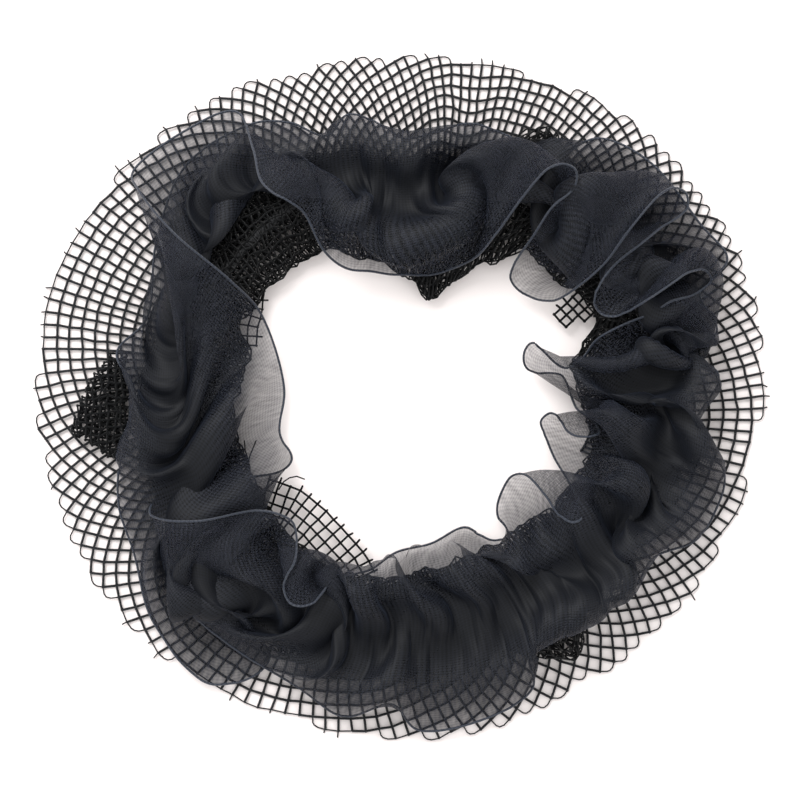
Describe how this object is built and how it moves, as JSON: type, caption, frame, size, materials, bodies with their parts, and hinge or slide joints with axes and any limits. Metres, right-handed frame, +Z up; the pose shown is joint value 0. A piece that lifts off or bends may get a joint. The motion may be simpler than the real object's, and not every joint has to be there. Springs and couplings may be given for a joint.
{
  "type": "ruffled hair bun net",
  "caption": "Flat ring of coarse netting with a round elastic under a sheer gathered ribbon ruffle, open in the middle, worn round a hair bun.",
  "frame": {"origin": "centre of the bounding box, on the flat underside of the netting", "axes": "+Z up from the surface it lies on, through the open middle; +Y towards the top of the picture, +X to its right"},
  "size_m": [0.1499, 0.1409, 0.0214],
  "materials": {
    "coarse_netting": "matt knotted nylon thread, black",
    "bunched_netting": "matt crumpled nylon netting, black",
    "covered_elastic": "braided cover, black",
    "organza_ribbon": "sheer woven organza with a soft sheen, dark navy"
  },
  "bodies": {
    "root": {"net_skirt": "coarse_netting", "net_gather": "bunched_netting", "elastic_band": "covered_elastic", "ribbon_ruffle": "organza_ribbon"}
  },
  "joints": []
}
